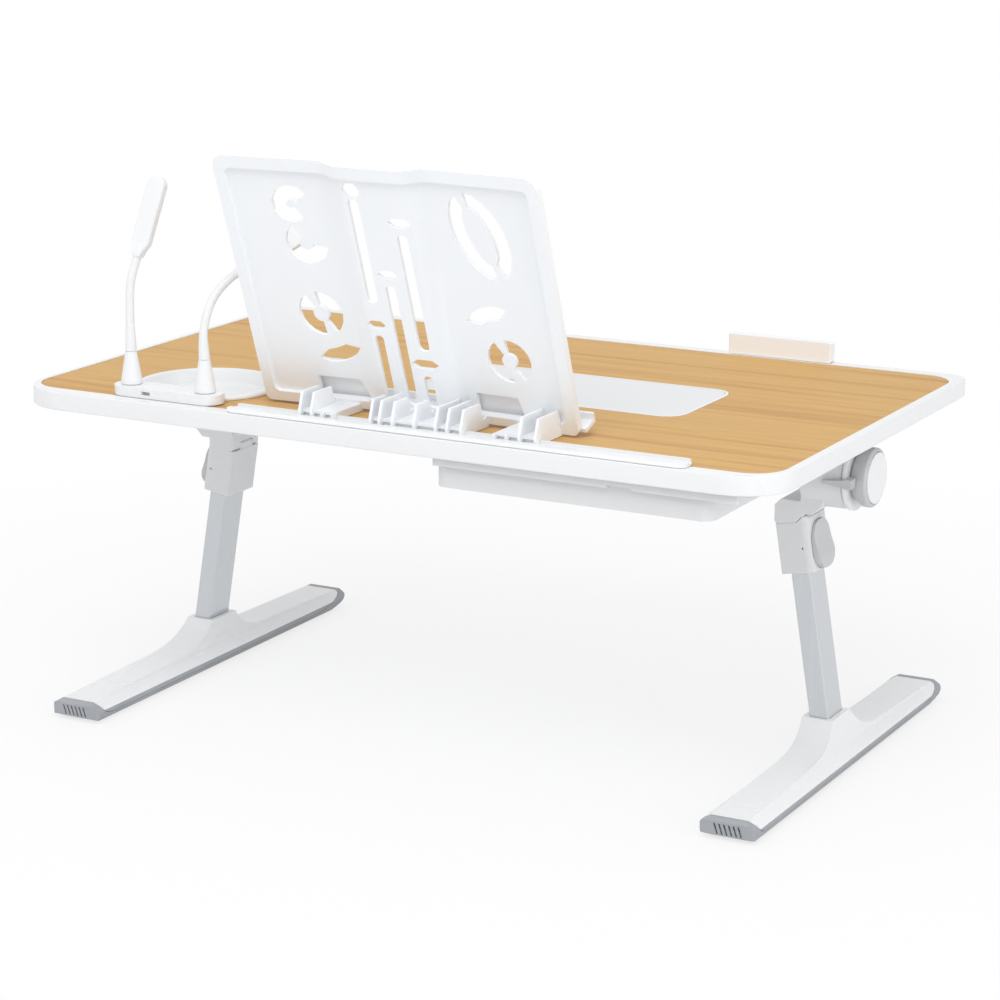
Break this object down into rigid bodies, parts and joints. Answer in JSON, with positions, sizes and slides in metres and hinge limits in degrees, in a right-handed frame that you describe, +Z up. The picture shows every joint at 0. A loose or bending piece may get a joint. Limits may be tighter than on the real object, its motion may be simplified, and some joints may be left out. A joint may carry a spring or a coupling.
{
  "type": "laptop bed table",
  "caption": "Folding laptop bed table with wood top, tilting telescopic legs, drawer, slotted book stand, cup tray and plug-in reading lamps.",
  "frame": {"origin": "on the floor under the middle of the whole table's bounding box", "axes": "+Z up, +X along the top towards the lamp and cup tray end, +Y towards the rear edge that carries the stand rail; the user sits on the -Y side"},
  "size_m": [0.64, 0.424, 0.4716],
  "materials": {
    "white_gloss": "smooth white moulded plastic",
    "oak": "satin tan oak laminate with fine grain",
    "pale_grey": "matte light grey pad",
    "leg_grey": "light grey moulded plastic",
    "dark_grey": "mid grey moulded plastic",
    "sole_rubber": "matte grey grip sole",
    "anodised": "blue-grey anodised tube",
    "steel": "plain steel pin or bolt",
    "silicone": "white soft-touch lamp body",
    "lens": "milky lamp diffuser"
  },
  "bodies": {
    "top": {"table_frame": "white_gloss", "wood_panel": "oak", "pad_trim": "white_gloss", "centre_pad": "pale_grey", "cup_tray": "white_gloss", "lamp_block": "white_gloss", "stand_rail": "white_gloss", "drawer_runner_rear": "leg_grey", "drawer_runner_front": "leg_grey", "hub_bracket_a": "white_gloss", "hub_bracket_b": "white_gloss", "clamp_bolt_a": "steel", "clamp_bolt_b": "steel"},
    "drawer_body": {"drawer": "white_gloss"},
    "stop_body": {"stop_bar": "white_gloss"},
    "knob_a": {"clamp_knob_a": "dark_grey", "knob_cap_a": "white_gloss"},
    "knob_b": {"clamp_knob_b": "dark_grey", "knob_cap_b": "white_gloss"},
    "head_a": {"leg_head_a": "leg_grey", "fold_pin_a": "steel"},
    "head_b": {"leg_head_b": "leg_grey", "fold_pin_b": "steel"},
    "sleeve_a": {"leg_sleeve_a": "leg_grey"},
    "sleeve_b": {"leg_sleeve_b": "leg_grey"},
    "button_a": {"release_button_a": "leg_grey"},
    "button_b": {"release_button_b": "leg_grey"},
    "leg_a": {"leg_tube_a": "anodised", "foot_shell_a": "white_gloss", "foot_sole_a": "sole_rubber"},
    "leg_b": {"leg_tube_b": "anodised", "foot_shell_b": "white_gloss", "foot_sole_b": "sole_rubber"},
    "lamp_a": {"lamp_plug_a": "silicone", "lamp_neck_a": "silicone", "lamp_head_a": "silicone", "lamp_lens_a": "lens"},
    "lamp_b": {"lamp_plug_b": "silicone", "lamp_neck_b": "silicone", "lamp_head_b": "silicone", "lamp_lens_b": "lens"},
    "stand": {"book_stand": "white_gloss", "clip_pin_a": "steel", "clip_pin_b": "steel"},
    "clip_a": {"page_clip_a": "white_gloss"},
    "clip_b": {"page_clip_b": "white_gloss"}
  },
  "joints": [
    {"name": "tilt_a", "type": "hinge", "parent": "top", "child": "head_a", "pos_m": [0.28, -0.02097, 0.229], "axis": [1, 0, 0], "range_deg": [-36, 0]},
    {"name": "tilt_b", "type": "hinge", "parent": "top", "child": "head_b", "pos_m": [-0.28, -0.02097, 0.229], "axis": [1, 0, 0], "range_deg": [-36, 0]},
    {"name": "fold_a", "type": "hinge", "parent": "head_a", "child": "sleeve_a", "pos_m": [0.24408, -0.02247, 0.1927], "axis": [0, 1, 0], "range_deg": [0, 98]},
    {"name": "fold_b", "type": "hinge", "parent": "head_b", "child": "sleeve_b", "pos_m": [-0.24408, -0.02247, 0.1927], "axis": [0, -1, 0], "range_deg": [0, 98]},
    {"name": "extend_a", "type": "slide", "parent": "sleeve_a", "child": "leg_a", "axis": [0.1623, 0, -0.9867], "range_m": [0, 0.026]},
    {"name": "extend_b", "type": "slide", "parent": "sleeve_b", "child": "leg_b", "axis": [-0.1623, 0, -0.9867], "range_m": [0, 0.026]},
    {"name": "press_a", "type": "slide", "parent": "sleeve_a", "child": "button_a", "axis": [-0.9867, 0, -0.1623], "range_m": [0, 0.0018], "stiffness_N_per_m": 300, "springref_m": -0.002},
    {"name": "press_b", "type": "slide", "parent": "sleeve_b", "child": "button_b", "axis": [0.9867, 0, -0.1623], "range_m": [0, 0.0018], "stiffness_N_per_m": 300, "springref_m": -0.002},
    {"name": "clamp_a", "type": "hinge", "parent": "top", "child": "knob_a", "pos_m": [0.308, -0.02097, 0.229], "axis": [-1, 0, 0], "range_deg": [0, 55]},
    {"name": "clamp_b", "type": "hinge", "parent": "top", "child": "knob_b", "pos_m": [-0.308, -0.02097, 0.229], "axis": [-1, 0, 0], "range_deg": [0, 55]},
    {"name": "drawer_slide", "type": "slide", "parent": "top", "child": "drawer_body", "axis": [-1, 0, 0], "range_m": [0, 0.15]},
    {"name": "stop_lift", "type": "slide", "parent": "top", "child": "stop_body", "axis": [0, 0, 1], "range_m": [0, 0.02]},
    {"name": "stand_lift", "type": "slide", "parent": "top", "child": "stand", "axis": [0, 0, 1], "range_m": [0, 0.06]},
    {"name": "clip_turn_a", "type": "hinge", "parent": "stand", "child": "clip_a", "pos_m": [0.0545, 0.12344, 0.28543], "axis": [1, 0, 0], "range_deg": [0, 80]},
    {"name": "clip_turn_b", "type": "hinge", "parent": "stand", "child": "clip_b", "pos_m": [-0.0815, 0.12344, 0.28543], "axis": [1, 0, 0], "range_deg": [0, 80]},
    {"name": "unplug_a", "type": "slide", "parent": "top", "child": "lamp_a", "axis": [0, 0, 1], "range_m": [0, 0.012]},
    {"name": "unplug_b", "type": "slide", "parent": "top", "child": "lamp_b", "axis": [0, 0, 1], "range_m": [0, 0.012]}
  ],
  "couplings": [
    {"joint": "tilt_b", "follows": "tilt_a", "ratio": 1}
  ]
}
